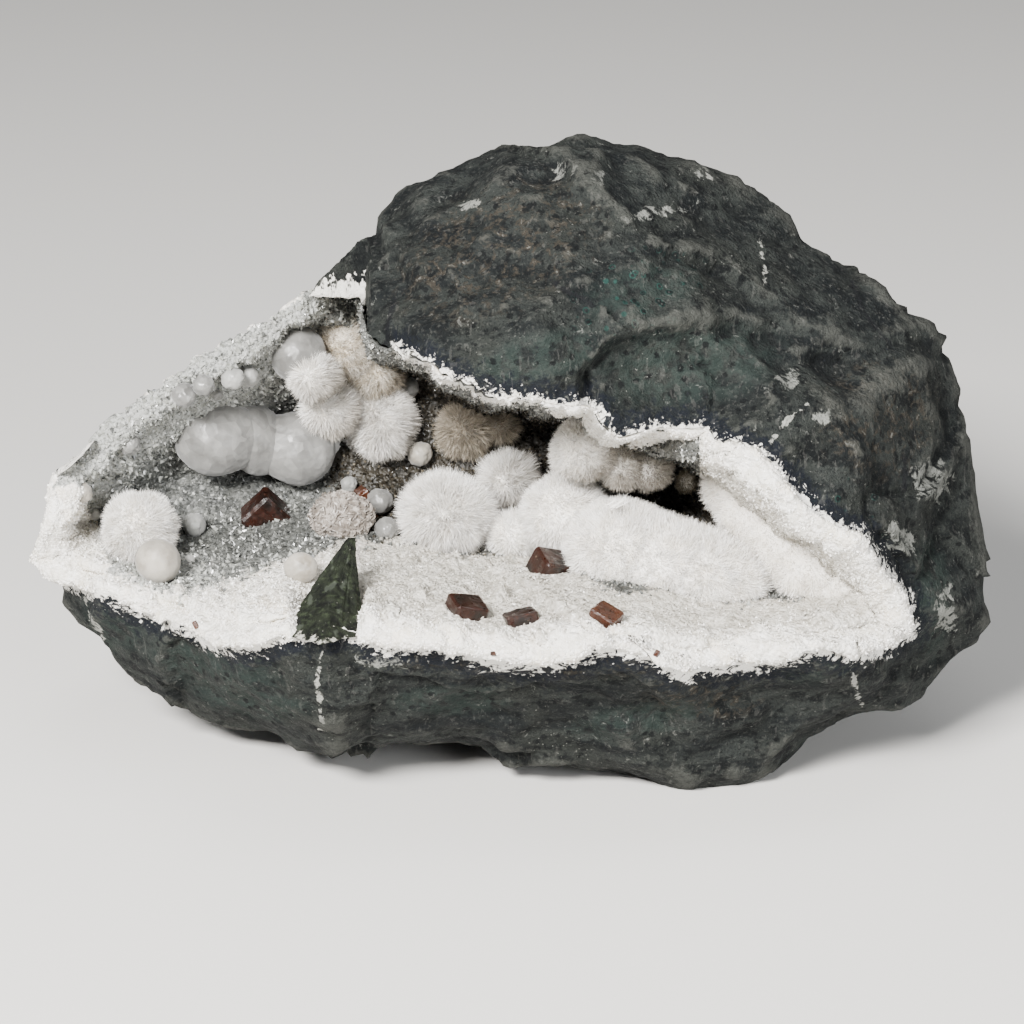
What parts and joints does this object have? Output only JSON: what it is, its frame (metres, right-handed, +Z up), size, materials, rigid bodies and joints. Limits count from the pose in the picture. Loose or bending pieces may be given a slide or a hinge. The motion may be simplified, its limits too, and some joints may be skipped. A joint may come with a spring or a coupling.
{
  "type": "okenite specimen",
  "caption": "Broken basalt nodule whose open hollow is lined with drusy quartz and carries okenite puffballs, gyrolite balls and brown crystals; lies on its flat underside.",
  "frame": {"origin": "middle of the specimen's bounding box, on the surface that it rests on", "axes": "+Z up, +X along the specimen's length, the open hollow faces -Y"},
  "size_m": [0.177, 0.1144, 0.1156],
  "materials": {
    "basalt": "matte",
    "drusy_quartz": "satin",
    "celadonite": "matte",
    "okenite": "matte",
    "okenite_cream": "matte",
    "gyrolite": "satin",
    "rosette": "satin",
    "brown_crystal": "gloss",
    "amber_crystal": "gloss"
  },
  "bodies": {
    "root": {"basalt_matrix": "basalt", "brown_blade": "amber_crystal", "brown_diamond": "brown_crystal", "brown_front_a": "brown_crystal", "brown_front_b": "brown_crystal", "brown_front_c": "amber_crystal", "brown_shaded": "brown_crystal", "celadonite_spur": "celadonite", "gyrolite_back_a": "gyrolite", "gyrolite_back_b": "gyrolite", "gyrolite_cluster": "gyrolite", "gyrolite_disc": "gyrolite", "gyrolite_dot": "gyrolite", "gyrolite_low": "gyrolite", "gyrolite_pair": "gyrolite", "gyrolite_rim_a": "gyrolite", "gyrolite_rim_b": "gyrolite", "gyrolite_rim_c": "gyrolite", "gyrolite_rim_d": "gyrolite", "gyrolite_rosette": "rosette", "gyrolite_side_a": "gyrolite", "gyrolite_side_b": "gyrolite", "gyrolite_side_c": "gyrolite", "gyrolite_tip": "gyrolite", "gyrolite_upper": "gyrolite", "okenite_bead": "okenite", "okenite_behind": "okenite", "okenite_centre": "okenite", "okenite_cluster": "okenite", "okenite_deep": "okenite_cream", "okenite_left": "okenite", "okenite_right": "okenite", "okenite_roof": "okenite", "okenite_streaked": "okenite", "okenite_twin": "okenite", "okenite_upper": "okenite_cream", "quartz_lining": "drusy_quartz", "white_plates": "gyrolite"}
  },
  "joints": []
}
